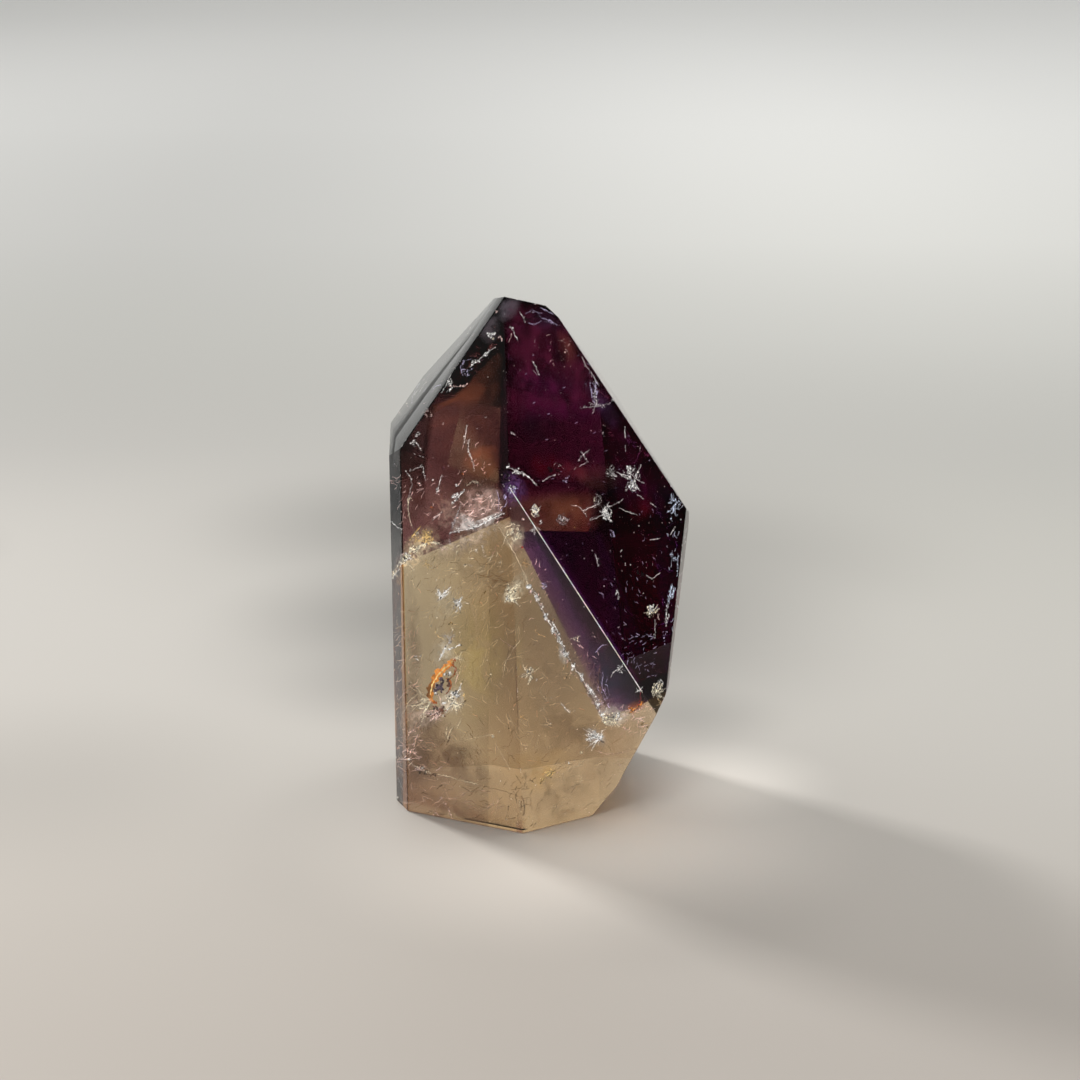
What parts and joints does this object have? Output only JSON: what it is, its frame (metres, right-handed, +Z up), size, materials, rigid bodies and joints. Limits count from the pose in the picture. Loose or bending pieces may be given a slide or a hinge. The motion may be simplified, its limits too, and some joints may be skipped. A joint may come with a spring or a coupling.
{
  "type": "polished quartz point",
  "caption": "Free-standing polished quartz point with ground flat facets, a citrine foot, an amethyst shoulder and rusty inclusions.",
  "frame": {"origin": "on the flat foot, under the middle of the crystal's width and depth", "axes": "+Z up along the crystal to its tip; -Y towards the viewer, on the side of the bright slanting edge; +X to the viewer's right"},
  "size_m": [0.044, 0.043, 0.0741],
  "materials": {
    "quartz": "clear smoky-yellow quartz, polished",
    "amethyst": "deep purple colour zone inside the crystal",
    "smoky_brown": "brown colour zone inside the crystal",
    "veil": "healed cracks and wisps, pale and glittering",
    "rust": "dull orange-brown iron oxide"
  },
  "bodies": {
    "root": {"crystal_point": "quartz"}
  },
  "joints": []
}
